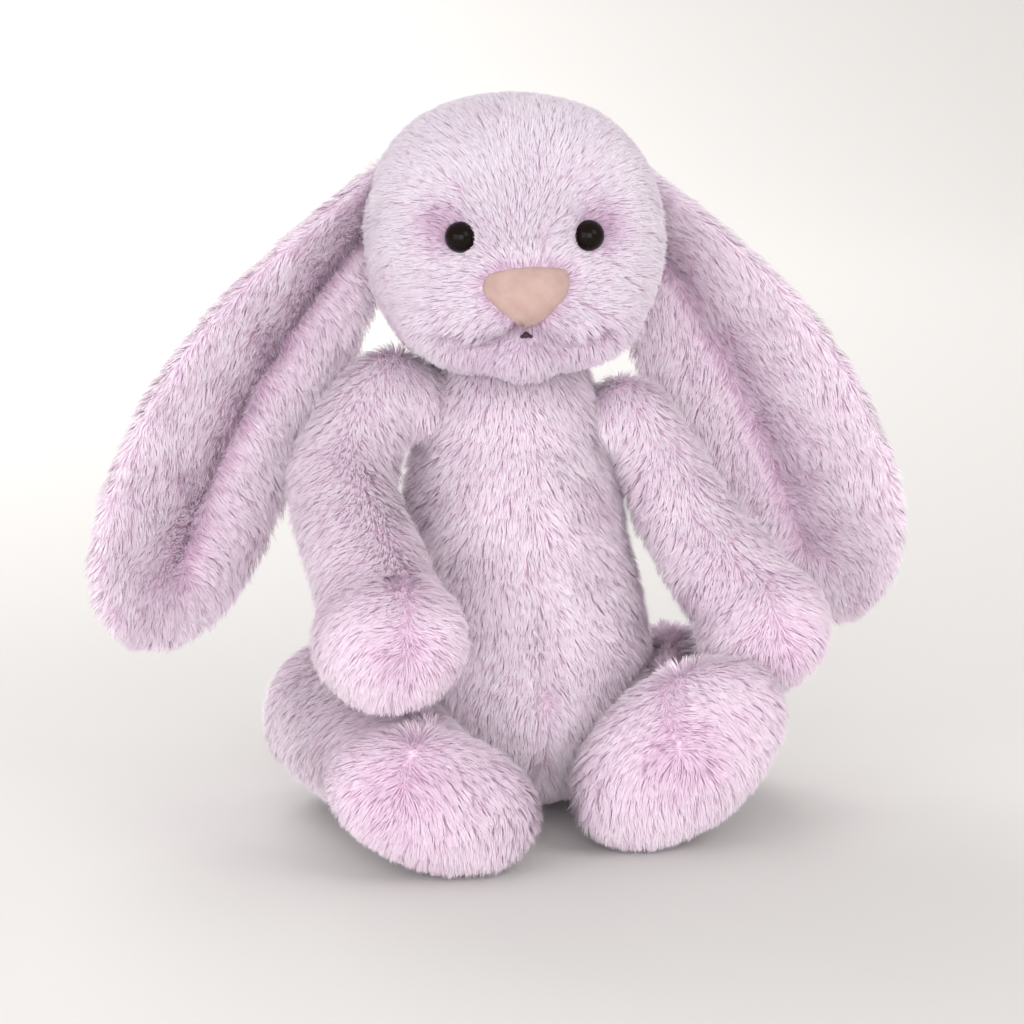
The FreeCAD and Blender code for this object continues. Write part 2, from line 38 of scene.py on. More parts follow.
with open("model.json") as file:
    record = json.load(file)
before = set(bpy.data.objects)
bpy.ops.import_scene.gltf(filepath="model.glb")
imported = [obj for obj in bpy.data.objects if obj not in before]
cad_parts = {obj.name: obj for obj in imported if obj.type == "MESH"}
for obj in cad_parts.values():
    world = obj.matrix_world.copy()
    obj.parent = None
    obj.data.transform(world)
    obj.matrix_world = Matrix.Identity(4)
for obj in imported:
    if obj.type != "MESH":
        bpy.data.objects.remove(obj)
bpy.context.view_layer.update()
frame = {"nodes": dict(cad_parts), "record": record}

MM = 0.001
SIDES = ("left", "right")
SIGNS = {"left": 1, "right": -1}


def spot(x, y, z):
    """A point, or the way to one, given in millimetres."""
    return Vector((x, y, z)) * MM


def box_middle(node):
    low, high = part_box(node)
    return (Vector(low) + Vector(high)) / 2


def hip_height():
    joints = {joint["name"]: joint for joint in frame["record"]["behaviour"]["joints"]}
    return joints["left_hip_swing"]["pos_m"][2]


head_centre = box_middle("head_stuffing")
seat_centre = Vector((0, 0, hip_height()))

# ------------------------------------------------------------------ stage, light and camera

CAMERA_AZIMUTH = math.radians(-12)
CAMERA_ELEVATION = math.radians(12)
CAMERA_DISTANCE = 1.2
CAMERA_TARGET = Vector((0, 0.008, 0.0795))
SENSOR_WIDTH, LENS = 36, 152.5  # in millimetres

# name, place, power in watts, width and colour
LIGHTS = [
    ("key", (0.75, -1.1, 0.9), 4.5, 0.8, (1, 0.99, 0.97)),
    ("fill", (-1.1, -1.0, 0.35), 7.5, 1.0, (1, 1, 1)),
    ("front", (-0.2, -1.6, 0.4), 11.5, 1.0, (1, 1, 1)),
    ("rim", (-0.3, 1.2, 0.7), 10, 0.9, (1, 1, 1)),
]
LIGHT_TARGET = Vector((0, 0, 0.1))
ROOM_COLOUR, ROOM_STRENGTH = (1.0, 0.985, 0.97, 1), 0.65


def make_camera():
    camera = bpy.data.objects.new("camera", bpy.data.cameras.new("camera"))
    bpy.context.collection.objects.link(camera)
    level = math.cos(CAMERA_ELEVATION)
    back = Vector(
        (
            math.sin(CAMERA_AZIMUTH) * level,
            -math.cos(CAMERA_AZIMUTH) * level,
            math.sin(CAMERA_ELEVATION),
        )
    )
    camera.location = CAMERA_TARGET + back * CAMERA_DISTANCE
    camera.rotation_mode = "QUATERNION"
    camera.rotation_quaternion = (-back).to_track_quat("-Z", "Y")
    camera.data.sensor_width = SENSOR_WIDTH
    camera.data.lens = LENS
    camera.data.clip_start, camera.data.clip_end = 0.05, 20
    bpy.context.scene.camera = camera


def make_stage():
    """A pale floor that curves up behind, so that no edge shows."""
    size, rise, bend, steps = 3.0, 1.6, 0.5, 12
    foot = size / 2 - bend
    profile = [(-size, 0.0), (foot, 0.0)]
    for step in range(1, steps + 1):
        angle = math.pi / 2 * step / steps
        profile.append((foot + bend * math.sin(angle), bend - bend * math.cos(angle)))
    profile.append((size / 2, rise))
    points = [(side * size, y, z) for y, z in profile for side in (-1, 1)]
    faces = [(2 * i, 2 * i + 1, 2 * i + 3, 2 * i + 2) for i in range(len(profile) - 1)]
    mesh = bpy.data.meshes.new("floor")
    mesh.from_pydata(points, [], faces)
    shade_smooth(mesh)
    mesh.materials.append(plain_material("floor_pale", (0.78, 0.765, 0.75), roughness=0.8))
    floor = bpy.data.objects.new("floor", mesh)
    bpy.context.collection.objects.link(floor)


def make_light():
    world = bpy.data.worlds.new("studio")
    world.use_nodes = True
    background = world.node_tree.nodes["Background"]
    background.inputs["Color"].default_value = ROOM_COLOUR
    background.inputs["Strength"].default_value = ROOM_STRENGTH
    bpy.context.scene.world = world
    for name, place, power, width, colour in LIGHTS:
        data = bpy.data.lights.new(name, "AREA")
        data.energy, data.size, data.color = power, width, colour
        light = bpy.data.objects.new(name, data)
        light.location = place
        light.rotation_mode = "QUATERNION"
        light.rotation_quaternion = (LIGHT_TARGET - light.location).to_track_quat("-Z", "Y")
        bpy.context.collection.objects.link(light)
    bpy.context.scene.view_settings.view_transform = "Standard"


# ------------------------------------------------------------------ materials

# colours of the pile, from the shaded roots to the brightest tips
PILE_TONES = [
    (0.67, 0.42, 0.61),
    (0.76, 0.52, 0.70),
    (0.83, 0.62, 0.78),
    (0.88, 0.70, 0.84),
    (0.92, 0.78, 0.89),
    (0.95, 0.84, 0.93),
    (0.97, 0.90, 0.97),
]
LAST_TONE = len(PILE_TONES) - 1
PILE_FINISH = {"roughness": 0.7, "Sheen_Weight": 0.3, "Specular_IOR_Level": 0.15}
BODY_TINT = (1, 1, 1)
HEAD_SHADE_TINT = (0.87, 0.915, 0.90)  # the pile of the head is a little greyer than the body's, and darkened as painted shade against the extra light the head catches


def plain_material(name, colour, roughness=0.6, **sockets):
    material = bpy.data.materials.new(name)
    material.use_nodes = True
    shader = material.node_tree.nodes["Principled BSDF"]
    shader.inputs["Base Color"].default_value = (*colour, 1)
    shader.inputs["Roughness"].default_value = roughness
    for socket, value in sockets.items():
        shader.inputs[socket.replace("_", " ")].default_value = value
    return material


def add_noise(tree, scale, detail=2):
    """A noise texture that stays with the object."""
    place = tree.nodes.new("ShaderNodeTexCoord")
    noise = tree.nodes.new("ShaderNodeTexNoise")
    noise.inputs["Scale"].default_value = scale
    noise.inputs["Detail"].default_value = detail
    tree.links.new(place.outputs["Object"], noise.inputs["Vector"])
    return noise


def mottle(material, scale, detail, stops):
    """Vary a material's colour by a noise, between two stops of (place on the ramp, colour)."""
    tree = material.node_tree
    noise = add_noise(tree, scale, detail)
    ramp = tree.nodes.new("ShaderNodeValToRGB")
    for element, (position, colour) in zip(ramp.color_ramp.elements, stops):
        element.position = position
        element.color = (*colour, 1)
    shader = tree.nodes["Principled BSDF"]
    tree.links.new(noise.outputs["Fac"], ramp.inputs["Fac"])
    tree.links.new(ramp.outputs["Color"], shader.inputs["Base Color"])


def make_pile_materials(name, tint):
    """One soft matte material for each tone of the pile."""
    materials = []
    for number, tone in enumerate(PILE_TONES):
        colour = tuple(part * share for part, share in zip(tone, tint))
        materials.append(plain_material(f"{name}_{number}", colour, **PILE_FINISH))
    return materials


def backing_material():
    """The cloth under the pile: mauve, mottled by the clumps of fibre roots."""
    material = plain_material("plush_backing", PILE_TONES[2], roughness=0.9, Sheen_Weight=0.4)
    mottle(material, 420, 4, [(0.35, PILE_TONES[1]), (0.7, PILE_TONES[4])])
    return material


def felt_material():
    """Short-napped peach felt with a faint mottle and a fine tooth."""
    material = plain_material("nose_felt", (0.50, 0.33, 0.30), roughness=0.95, Sheen_Weight=0.15)
    mottle(material, 260, 5, [(0.3, (0.47, 0.31, 0.28)), (0.75, (0.55, 0.385, 0.345))])
    tree = material.node_tree
    tooth = add_noise(tree, 2600)
    bump = tree.nodes.new("ShaderNodeBump")
    bump.inputs["Strength"].default_value = 0.35
    bump.inputs["Distance"].default_value = 0.3 * MM
    tree.links.new(tooth.outputs["Fac"], bump.inputs["Height"])
    tree.links.new(bump.outputs["Normal"], tree.nodes["Principled BSDF"].inputs["Normal"])
    return material


def eye_material():
    """Deep brown moulded plastic, glossy, almost black."""
    return plain_material("eye_gloss", (0.007, 0.0035, 0.003), roughness=0.1, Specular_IOR_Level=0.12)


# ------------------------------------------------------------------ soft skins

SKIN_VOXEL = 1.6 * MM
SKIN_SMOOTHING = 14


def shade_smooth(mesh):
    mesh.polygons.foreach_set("use_smooth", np.ones(len(mesh.polygons), dtype=bool))


def add_ball(mesh, centre, radii, rotation=None, power=2.0):
    """An ellipsoid in a bmesh, squarer at its corners when the power is over 2."""
    ball = bmesh.ops.create_icosphere(mesh, subdivisions=4, radius=1)["verts"]
    for vert in ball:
        vert.co /= sum(abs(part) ** power for part in vert.co) ** (1 / power)
    turn = (rotation or Euler((0, 0, 0))).to_matrix().to_4x4()
    matrix = Matrix.Translation(centre) @ turn @ Matrix.Diagonal((*radii, 1))
    bmesh.ops.transform(mesh, matrix=matrix, verts=ball)


def curve_point(before, start, finish, after, t):
    """A point between start and finish on the smooth curve through all four."""
    return (
        start * 2
        + (finish - before) * t
        + (before * 2 - start * 5 + finish * 4 - after) * t * t
        + (start * 3 - before - finish * 3 + after) * t * t * t
    ) * 0.5


def add_limb(mesh, stations):
    """A smooth run of overlapping balls through (point, radius) stations."""
    points = [Vector(place) for place, _ in stations]
    radii = [radius for _, radius in stations]
    ends = [points[0] * 2 - points[1]] + points + [points[-1] * 2 - points[-2]]
    for index in range(len(points) - 1):
        before, start, finish, after = ends[index : index + 4]
        steps = max(2, int((finish - start).length / (2 * MM)))
        for step in range(steps + 1):
            t = step / steps
            radius = radii[index] + (radii[index + 1] - radii[index]) * (3 * t * t - 2 * t**3)
            add_ball(mesh, curve_point(before, start, finish, after, t), (radius,) * 3)


def object_from(shape, name):
    """Turn a bmesh into a smooth-shaded object."""
    mesh = bpy.data.meshes.new(name)
    shape.to_mesh(mesh)
    shape.free()
    shade_smooth(mesh)
    item = bpy.data.objects.new(name, mesh)
    bpy.context.collection.objects.link(item)
    return item


def remeshed(item, voxel, smoothing):
    """Join an object's overlapping forms into one even mesh, and smooth it where they meet."""
    remesh = item.modifiers.new("remesh", "REMESH")
    remesh.mode, remesh.voxel_size = "VOXEL", voxel
    relax = item.modifiers.new("relax", "SMOOTH")
    relax.factor, relax.iterations = 0.5, smoothing
    depsgraph = bpy.context.evaluated_depsgraph_get()
    mesh = bpy.data.meshes.new_from_object(item.evaluated_get(depsgraph))
    rough = item.data
    item.modifiers.clear()
    item.data = mesh
    mesh.name = item.name
    bpy.data.meshes.remove(rough)
    shade_smooth(mesh)
    return item


def make_skin(name, draw):
    """One closed skin from the overlapping forms that a function draws."""
    shape = bmesh.new()
    draw(shape)
    return remeshed(object_from(shape, name), SKIN_VOXEL, SKIN_SMOOTHING)


def read_vectors(mesh, attribute):
    vectors = np.empty(len(mesh.vertices) * 3)
    mesh.vertices.foreach_get(attribute, vectors)
    return vectors.reshape(-1, 3)


def write_points(mesh, points):
    mesh.vertices.foreach_set("co", points.ravel())
    mesh.update()


def unit(vectors):
    return vectors / np.maximum(np.linalg.norm(vectors, axis=1, keepdims=True), 1e-9)


def nearness(points, place, reach):
    """1 at a place, falling smoothly to 0 at a few reaches from it."""
    away = ((points - np.array(place)) ** 2).sum(1)
    return np.exp(-away / (2 * reach * reach))


def falloff(gap, reach):
    """1 where the gap is nothing, falling smoothly to 0 at about two reaches."""
    return np.exp(-((gap / reach) ** 2))


def path_distance(points, path):
    """Each point's distance from a line through several places, and the way to it."""
    best = np.full(len(points), np.inf)
    towards = np.zeros_like(points)
    for start, finish in zip(path[:-1], path[1:]):
        start, along = np.array(start), np.array(finish) - np.array(start)
        share = np.clip((points - start) @ along / (along @ along), 0, 1)
        gap = start + share[:, None] * along - points
        length = np.linalg.norm(gap, axis=1)
        closer = length < best
        best[closer] = length[closer]
        towards[closer] = gap[closer]
    return best, towards


def push_in(skin, depth_at):
    """Move the skin in along its normals by the depth that a function gives at each point."""
    points, normals = read_vectors(skin.data, "co"), read_vectors(skin.data, "normal")
    write_points(skin.data, points - normals * depth_at(points)[:, None])


def dent(skin, centre, reach, depth):
    push_in(skin, lambda points: nearness(points, centre, reach) * depth)


def crease(skin, path, reach, depth):
    """Pull the skin in along a seam or fold."""
    push_in(skin, lambda points: falloff(path_distance(points, path)[0], reach) * depth)


def skin_tree(skin):
    points = [vertex.co for vertex in skin.data.vertices]
    return BVHTree.FromPolygons(points, [tuple(polygon.vertices) for polygon in skin.data.polygons])


def finish_skin(skin, body, nodes):
    """Dress a skin, and let it ride on a body and stand for that body's soft nodes."""
    skin.data.materials.clear()
    skin.data.materials.append(backing)
    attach(skin, body)
    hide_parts(*nodes)


# ------------------------------------------------------------------ the pile

FLOOR_GAP = 0.4 * MM
BLADES_PER_TUFT = 26
SWIRL = 6 * MM  # how wide the soft swirls of the pile are
WEAK_NAP = 0.25  # a nap weaker than this doesn't lay the blades down fully
BLADE_WIDTH = 0.29 * MM
BLADE_CLUMP = 0.42  # how far the blades of a tuft lean to a common tip
TIP_TONE = 5.4  # the mean tone of the tips where nothing shades them


def hanging(points, normals):
    """The plainest nap: the pile lies downwards."""
    return np.tile([0.0, 0.0, -1.0], (len(points), 1))


def unshaded(points):
    return np.zeros(len(points))


def full_length(points):
    return np.ones(len(points))


def fanned(points, flow, centre, reach, strength):
    """A nap that lies one way, and fans out round a spot."""
    around = nearness(points, centre, reach)[:, None]
    return np.array(flow) + unit(points - centre) * around * strength


class Pile:
    """What the fur does on one skin: its length, how it lies and how dark it is at each root.

    The density is in blades a square millimetre. The lean is the slope of the blades: 1 is 45
    degrees. The shade is in steps down the list of tones.
    """

    def __init__(self, length, density, lean, nap=hanging, shade=unshaded, shorten=full_length):
        self.length, self.density, self.lean = length, density, lean
        self.nap, self.shade, self.shorten = nap, shade, shorten


def soft_noise(points, scale, seed):
    """A smooth field of three numbers at each point, from a few sums of sines."""
    source = np.random.default_rng(seed)
    field = np.zeros_like(points)
    for octave in (1.0, 1.9, 3.7):
        waves = source.normal(size=(3, 3, 4)) * octave / scale
        phases = source.uniform(0, 2 * np.pi, size=(3, 4))
        for axis in range(3):
            angles = points @ waves[axis] + phases[axis]
            field[:, axis] += np.sin(angles).sum(1) / (4 * octave**0.6)
    return field


def sample_roots(mesh, density, source):
    """Random places on a mesh, evenly by area, with the smooth normal at each."""
    mesh.calc_loop_triangles()
    corners = np.empty(len(mesh.loop_triangles) * 3, dtype=np.int32)
    mesh.loop_triangles.foreach_get("vertices", corners)
    corners = corners.reshape(-1, 3)
    points, normals = read_vectors(mesh, "co"), read_vectors(mesh, "normal")
    a, b, c = (points[corners[:, k]] for k in range(3))
    areas = np.linalg.norm(np.cross(b - a, c - a), axis=1) / 2
    count = int(areas.sum() / MM**2 * density)
    chosen = source.choice(len(areas), size=count, p=areas / areas.sum())
    u, v = source.random(count), source.random(count)
    over = u + v > 1
    u[over], v[over] = 1 - u[over], 1 - v[over]
    weights = np.stack([1 - u - v, u, v], axis=1)
    picked = corners[chosen]
    roots = sum(points[picked[:, k]] * weights[:, k : k + 1] for k in range(3))
    ways = unit(sum(normals[picked[:, k]] * weights[:, k : k + 1] for k in range(3)))
    return roots, ways


def laid_flat(vectors, normals):
    """The part of each vector that lies along the skin."""
    return vectors - (vectors * normals).sum(1, keepdims=True) * normals


def comb(pile, roots, normals, upward, source):
    """The tips of the blades as the nap lays them, and their lengths."""
    count = len(roots)
    nap = laid_flat(pile.nap(roots, normals), normals)
    strength = np.linalg.norm(nap, axis=1, keepdims=True)
    nap = unit(nap) * np.minimum(1, strength / WEAK_NAP)
    drift = soft_noise(roots, SWIRL, 11) * 0.42 + source.normal(scale=0.22, size=(count, 3))
    lie = laid_flat(nap * pile.lean * (1 + 0.8 * upward) + drift, normals)
    length = pile.length * pile.shorten(roots) * source.uniform(0.72, 1.12, count)
    return roots + unit(normals + lie) * length[:, None], length


def gather(roots, tips, source):
    """Draw the tips of each tuft together. Also gives how far each root is from its tuft's middle."""
    count = len(roots)
    tufts = max(1, count // BLADES_PER_TUFT)
    centres = source.choice(count, tufts, replace=False)
    tree = KDTree(tufts)
    for index, centre in enumerate(centres):
        tree.insert(roots[centre], index)
    tree.balance()
    owners = centres[np.fromiter((tree.find(root)[1] for root in roots), dtype=np.int64, count=count)]
    pull = (BLADE_CLUMP * source.uniform(0.3, 1.2, count))[:, None]
    away = np.linalg.norm(roots - roots[owners], axis=1)
    return tips + (tips[owners] - tips) * pull, away


def blade_corners(roots, normals, tips, length, source):
    """Five corners for each blade, a little bowed, and the way its outer face looks."""
    count = len(roots)
    middle = roots + normals * (length * 0.12)[:, None] + (tips - roots) * 0.45
    across = np.cross(tips - roots, normals) + source.normal(scale=0.25 * MM, size=(count, 3))
    flat = unit(across)
    facing = unit(np.cross(flat, tips - roots))
    turned = np.sign((facing * normals).sum(1, keepdims=True))
    flat, facing = flat * turned, facing * turned
    half = (BLADE_WIDTH * source.uniform(0.7, 1.25, count) / 2)[:, None]
    outline = [
        roots - flat * half,
        roots + flat * half,
        middle + flat * half * 0.8,
        middle - flat * half * 0.8,
        tips,
    ]
    corners = np.stack(outline, axis=1)
    corners[:, :, 2] = np.maximum(corners[:, :, 2], FLOOR_GAP)
    return corners, facing


def blade_tones(pile, roots, away, source):
    """A tone for the root and the tip of each blade: tufts are darker round their edges, a painted shade
    between the tufts.
    """
    shade = pile.shade(roots) + soft_noise(roots, 9 * MM, 5)[:, 0] * 0.35
    shade = shade + source.normal(scale=0.4, size=len(roots)) + away / (2.4 * MM)
    tip_tone = np.clip(np.rint(TIP_TONE - shade), 1, LAST_TONE).astype(np.int32)
    root_tone = np.clip(tip_tone - source.integers(0, 3, len(roots)), 0, LAST_TONE - 2)
    return np.stack([root_tone, tip_tone], axis=1)


def blade_mesh(name, corners, tones, materials):
    """A quad and a triangle for each blade."""
    count = len(corners)
    mesh = bpy.data.meshes.new(name)
    mesh.vertices.add(count * 5)
    mesh.vertices.foreach_set("co", corners.ravel())
    first = np.arange(count)[:, None]
    loops = first * 5 + np.array([0, 1, 2, 3, 3, 2, 4])
    mesh.loops.add(count * 7)
    mesh.loops.foreach_set("vertex_index", loops.ravel())
    mesh.polygons.add(count * 2)
    mesh.polygons.foreach_set("loop_start", (first * 7 + np.array([0, 4])).ravel())
    mesh.polygons.foreach_set("material_index", tones.ravel())
    shade_smooth(mesh)
    mesh.update(calc_edges=True)
    for material in materials:
        mesh.materials.append(material)
    return mesh


def grow_pile(name, skin, body, pile, tones, keep=None):
    """Tapered blades of pile on a skin, drawn together in tufts, each in two tones of its own."""
    source = np.random.default_rng(sum(map(ord, name)))
    density = pile.density * 1.0
    roots, normals = sample_roots(skin.data, density, source)
    if keep is not None:
        wanted = keep(roots)
        roots, normals = roots[wanted], normals[wanted]
    upward = np.clip(normals[:, 2:], 0, 1)
    tips, length = comb(pile, roots, normals, upward, source)
    tips, away = gather(roots, tips, source)
    corners, facing = blade_corners(roots, normals, tips, length, source)
    mesh = blade_mesh(name, corners, blade_tones(pile, roots, away, source), tones)

    # normals between the skin's and the blade's own keep the pile soft, and lit from either side
    soft = unit(normals * (0.55 - 0.25 * upward) + facing)
    mesh.normals_split_custom_set_from_vertices(np.repeat(soft, 5, axis=0))
    fur = bpy.data.objects.new(name, mesh)
    bpy.context.collection.objects.link(fur)
    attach(fur, body)


def is_part(points, part, centre):
    """Which of the points lie in the left front, the right front or the back of a form."""
    back = points[:, 1] >= centre.y
    left = points[:, 0] > centre.x
    return {"left": ~back & left, "right": ~back & ~left, "back": back}[part]


# ------------------------------------------------------------------ the head

FACE_TURN = math.radians(-7)
FACE = Matrix.Translation(head_centre) @ Matrix.Rotation(FACE_TURN, 4, "Z")
HEAD_NODES = ["face_left", "face_right", "head_back", "head_stuffing"]
EYE_CLEARANCE = 3.6 * MM
EYE_SQUEEZE = np.array([1.15, 1, 0.95])  # the pile closes in on an eye from its sides
# the seams that run from the mouth round the muzzle, across and rise on the face
SMILE = [(0, -20), (3.5, -22.5), (9, -25), (15, -25.5), (20, -23)]

# the nose is a triangle on its point with bowed sides: corners on the face, across and rise
NOSE_CORNERS = [
    (-10.8, -6.8),
    (-7.6, -4.3),
    (0, -3.3),
    (8, -3.6),
    (10.9, -5.4),
    (10, -10.6),
    (1.4, -18.2),
    (-1.4, -18.2),
    (-10.2, -10.8),
]
NOSE_MIDDLE = Vector((0, -9.5))
# the domed profile of the nose from its buried rim to its middle: share of the outline, height
NOSE_PROFILE = [(0.97, -0.5), (1.0, 0.7), (0.96, 1.5), (0.88, 2.0), (0.72, 2.4), (0.5, 2.6), (0.25, 2.7)]
# the balls of the mouth's knot of thread: across, rise and radius
MOUTH_BALLS = [(0, -20.4, 0.75), (0, -21.2, 0.9), (0.9, -21.9, 0.55), (-0.9, -21.9, 0.55)]
MOUTH_HEIGHT = 2.2  # of their middles over the skin, in millimetres


def on_face(across, ahead, rise):
    """A spot given in millimetres from the head's middle on the unturned face."""
    return FACE @ spot(across, -ahead, rise)


def in_face(points):
    """Points in millimetres on the unturned face."""
    back = np.array(FACE.inverted())
    return (points @ back[:3, :3].T + back[:3, 3]) / MM


def surface_under(tree, across, rise):
    """The skin's point and outward normal under a place on the face, seen from straight ahead."""
    ahead = (FACE.to_3x3() @ Vector((0, -1, 0))).normalized()
    place, normal, _, _ = tree.ray_cast(on_face(across, 80, rise), -ahead)
    return place, normal


def smooth_loop(corners, steps=6):
    """A closed smooth curve through corners given in the plane."""
    places = [Vector(corner) for corner in corners]
    count = len(places)
    curve = []
    for index in range(count):
        four = [places[(index + shift) % count] for shift in (-1, 0, 1, 2)]
        curve += [curve_point(*four, step / steps) for step in range(steps)]
    return curve


NOSE_OUTLINE = smooth_loop(NOSE_CORNERS)


def nose_distance(points):
    """How far each point lies from the nose's rim, seen from straight ahead."""
    far = 100
    local = in_face(points)
    rim = [Vector((corner.x, 0, corner.y)) for corner in NOSE_OUTLINE]
    gap, _ = path_distance(local * np.array([1, 0, 1]), rim + rim[:1])
    return np.where(local[:, 1] < 0, gap, far) * MM


def under_nose(points):
    """Which of the points lie behind the felt of the nose."""
    local = in_face(points)
    inside = np.zeros(len(points), dtype=bool)
    for start, finish in zip(NOSE_OUTLINE, NOSE_OUTLINE[1:] + NOSE_OUTLINE[:1]):
        crosses = (start.y > local[:, 2]) != (finish.y > local[:, 2])
        rise = (finish.y - start.y) or 1e-9
        meets = start.x + (local[:, 2] - start.y) / rise * (finish.x - start.x)
        inside ^= crosses & (local[:, 0] < meets)
    return inside & (local[:, 1] < 0)


def draw_head(shape):
    """A squarish skull, two cheeks, the muzzle between them and the chin."""
    add_ball(shape, on_face(0, 0, 0), (38.2 * MM, 37 * MM, 37 * MM), power=2.3)
    for sign in (-1, 1):
        add_ball(shape, on_face(12 * sign, 18, -17), (19.5 * MM, 18 * MM, 14.5 * MM))
    add_ball(shape, on_face(0, 24, -12), (19 * MM, 18 * MM, 14.5 * MM))
    add_ball(shape, on_face(0, 23, -23), (13 * MM, 13 * MM, 11 * MM))


def head_pile(eyes, nose, smile):
    """The pile of the head, given the places of the eyes and nose, and the muzzle's two seams."""

    def nap(points, normals):
        """The pile of the face runs out from the nose, over the crown and down the back."""
        out = unit(points - nose)
        behind = np.clip((points[:, 1] - head_centre.y) / (40 * MM) + 0.5, 0, 1)
        down = np.stack([behind * 0, 0.35 * (1 - behind), -0.5 - 0.3 * behind], axis=1)
        face = nearness(points, nose, 26 * MM)[:, None]
        flow = out * (0.35 + 0.55 * face) + down * (1 - face)
        for eye in eyes:
            flow += unit(points - eye) * 0.6 * nearness(points, eye, 4.5 * MM)[:, None]
        for path in smile:
            gap, towards = path_distance(points, path)
            flow -= unit(towards) * 1.7 * falloff(gap, 3.6 * MM)[:, None]
        return flow

    def shade(points):
        """Painted shade: the whole head a little darker against the light it catches, darker still under
        the cheeks, a painted shadow outside the eyes, and painted shade in the creases round the nose
        and along the seams.
        """
        dark = 0.7 + 0.9 * np.clip((head_centre.z - points[:, 2]) / (20 * MM), 0, 1)
        for sign, eye in zip((-1, 1), eyes):
            dark += 4.5 * nearness(points, eye + np.array([2.6 * sign, 3, 1.5]) * MM, 4.4 * MM)
        dark += 1.4 * falloff(nose_distance(points), 1.2 * MM)
        for path in smile:
            dark += 2.2 * falloff(path_distance(points, path)[0], 2.2 * MM)
        return dark

    def shorten(points):
        near = 0.6 * nearness(points, nose, 11 * MM)
        for eye in eyes:
            near += 0.8 * nearness(points, eye, 4.5 * MM)
        for path in smile:
            near += falloff(path_distance(points, path)[0], 1.8 * MM)
        return np.clip(1 - 0.62 * near, 0.35, 1) * 0.92

    return Pile(length=5 * MM, density=6.2, lean=1.15, nap=nap, shade=shade, shorten=shorten)


def make_head():
    skin = make_skin("head_skin", draw_head)
    eyes = [np.array(on_face(18.4 * sign, 36, 5)) for sign in (-1, 1)]
    nose = np.array(on_face(0, 42, -11))
    for sign in (-1, 1):
        dent(skin, on_face(18.5 * sign, 35, 6), 6.5 * MM, 2.2 * MM)
    tree = skin_tree(skin)
    smile = [
        [surface_under(tree, across * sign, rise)[0] for across, rise in SMILE] for sign in (-1, 1)
    ]
    for path in smile:
        crease(skin, path, 2.6 * MM, 2.6 * MM)
    finish_skin(skin, "head", HEAD_NODES)

    def bare(points):
        """Which of the points are left without pile: those behind the eyes and the nose."""
        hidden = under_nose(points)
        for eye in eyes:
            hidden |= np.linalg.norm((points - eye) * EYE_SQUEEZE, axis=1) <= EYE_CLEARANCE
        return hidden

    pile = head_pile(eyes, nose, smile)
    for part in ("left", "right", "back"):
        grow_pile(
            f"head_fur_{part}",
            skin,
            "head",
            pile,
            head_shaded_tones,
            keep=lambda points, part=part: is_part(points, part, head_centre) & ~bare(points),
        )
    tree = skin_tree(skin)
    make_nose(tree)
    make_mouth(tree)


def make_nose(tree):
    """Felt sewn over the end of the muzzle: domed a little, with its rim drawn down into the pile."""
    shape = bmesh.new()
    rings = []
    for share, height in NOSE_PROFILE:
        ring = []
        for corner in NOSE_OUTLINE:
            place = NOSE_MIDDLE + (corner - NOSE_MIDDLE) * share
            ground, normal = surface_under(tree, place.x, place.y)
            ring.append(shape.verts.new(ground + normal * height * MM))
        rings.append(ring)
    join_rings(shape, rings)
    nose = object_from(shape, "nose_felt")
    nose.data.materials.append(felt)
    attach(nose, "head")
    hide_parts("nose_patch")


def join_rings(shape, rings):
    """Close a run of equal rings of vertices into one solid."""
    count = len(rings[0])
    for lower, upper in zip(rings[:-1], rings[1:]):
        for corner in range(count):
            after = (corner + 1) % count
            shape.faces.new((lower[corner], lower[after], upper[after], upper[corner]))
    shape.faces.new(rings[0][::-1])
    shape.faces.new(rings[-1])
    bmesh.ops.recalc_face_normals(shape, faces=shape.faces)


def make_mouth(tree):
    """A small knot of dark thread where the seams of the muzzle meet."""
    shape = bmesh.new()
    for across, rise, radius in MOUTH_BALLS:
        ground, normal = surface_under(tree, across, rise)
        add_ball(shape, ground + normal * MOUTH_HEIGHT * MM, (radius * MM,) * 3)
    mouth = remeshed(object_from(shape, "mouth_thread"), 0.25 * MM, 4)
    mouth.data.materials.append(mouth_thread)
    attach(mouth, "head")
    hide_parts("mouth_stitch")


# ------------------------------------------------------------------ the body

BODY_NODES = [
    "seat_panel",
    "body_front_left",
    "body_front_right",
    "body_back_left",
    "body_back_right",
    "body_stuffing",
    "back_closing_stitches",
]
SEAT_HEIGHT = 1.5 * MM  # the skin's lowest point, where the seat lies flat
FRONT_SEAM = [spot(0, -24, 112), spot(0, -31, 80), spot(0, -38, 45), spot(0, -30, 10)]
BACK_SEAM = [spot(0, 30, 110), spot(0, 31, 70), spot(0, 34, 40), spot(0, 20, 6)]
BODY_STATIONS = [
    (spot(0, -4, 44), 33.5 * MM),
    (spot(-1.5, 0, 76), 28.6 * MM),
    (spot(-1.5, 6, 101), 24.2 * MM),
    (spot(0, 8, 122), 18 * MM),
]


def draw_body(shape):
    add_ball(shape, seat_centre + spot(0, -2, 2), (34.5 * MM, 36 * MM, 34 * MM))
    add_limb(shape, BODY_STATIONS)


